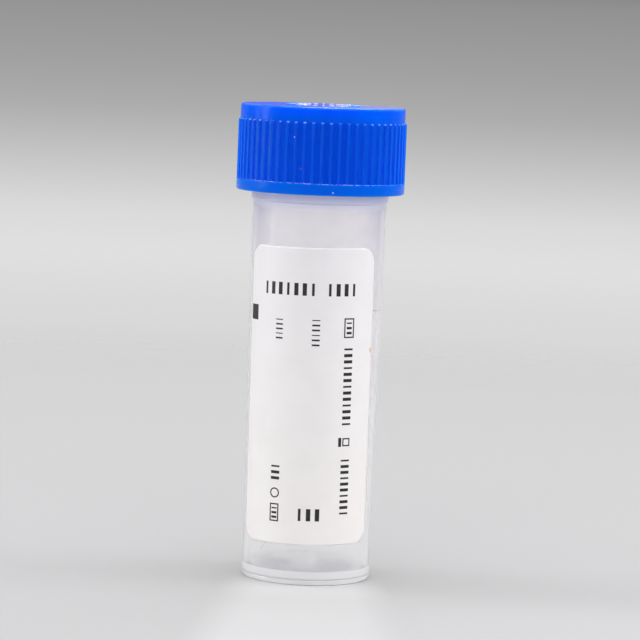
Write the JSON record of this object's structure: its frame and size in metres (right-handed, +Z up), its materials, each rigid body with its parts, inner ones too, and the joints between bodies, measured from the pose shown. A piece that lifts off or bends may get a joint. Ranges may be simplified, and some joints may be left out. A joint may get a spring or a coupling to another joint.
{
  "type": "blood collection tube",
  "caption": "Flat-based translucent sample tube with a ribbed screw cap, a sealing washer and a white paper label with plain printed fields.",
  "frame": {"origin": "middle of the foot, on the surface that the tube stands on", "axes": "+Z up along the tube towards the cap, -Y out of the label's side, +X to the right when looking at the label"},
  "size_m": [0.0206, 0.0206, 0.0581],
  "materials": {
    "tube_plastic": "natural polypropylene, translucent and lightly frosted",
    "cap_plastic": "semi-gloss moulded polyethylene, bright blue",
    "washer_rubber": "matt white silicone",
    "label_paper": "smooth uncoated white label paper",
    "label_ink": "matt black printing ink"
  },
  "bodies": {
    "tube": {"tube": "tube_plastic", "label": "label_paper", "label_print": "label_ink"},
    "washer": {"washer": "washer_rubber"},
    "cap": {"cap": "cap_plastic"}
  },
  "joints": [
    {"name": "cap_lift", "type": "slide", "parent": "tube", "child": "washer", "axis": [0, 0, 1], "range_m": [0, 0.021]},
    {"name": "cap_turn", "type": "hinge", "parent": "washer", "child": "cap", "pos_m": [0, 0, 0.0475], "axis": [0, 0, 1], "range_deg": [0, 2520]}
  ],
  "couplings": [
    {"joint": "cap_lift", "follows": "cap_turn", "m_per_rad": 0.00047746}
  ]
}
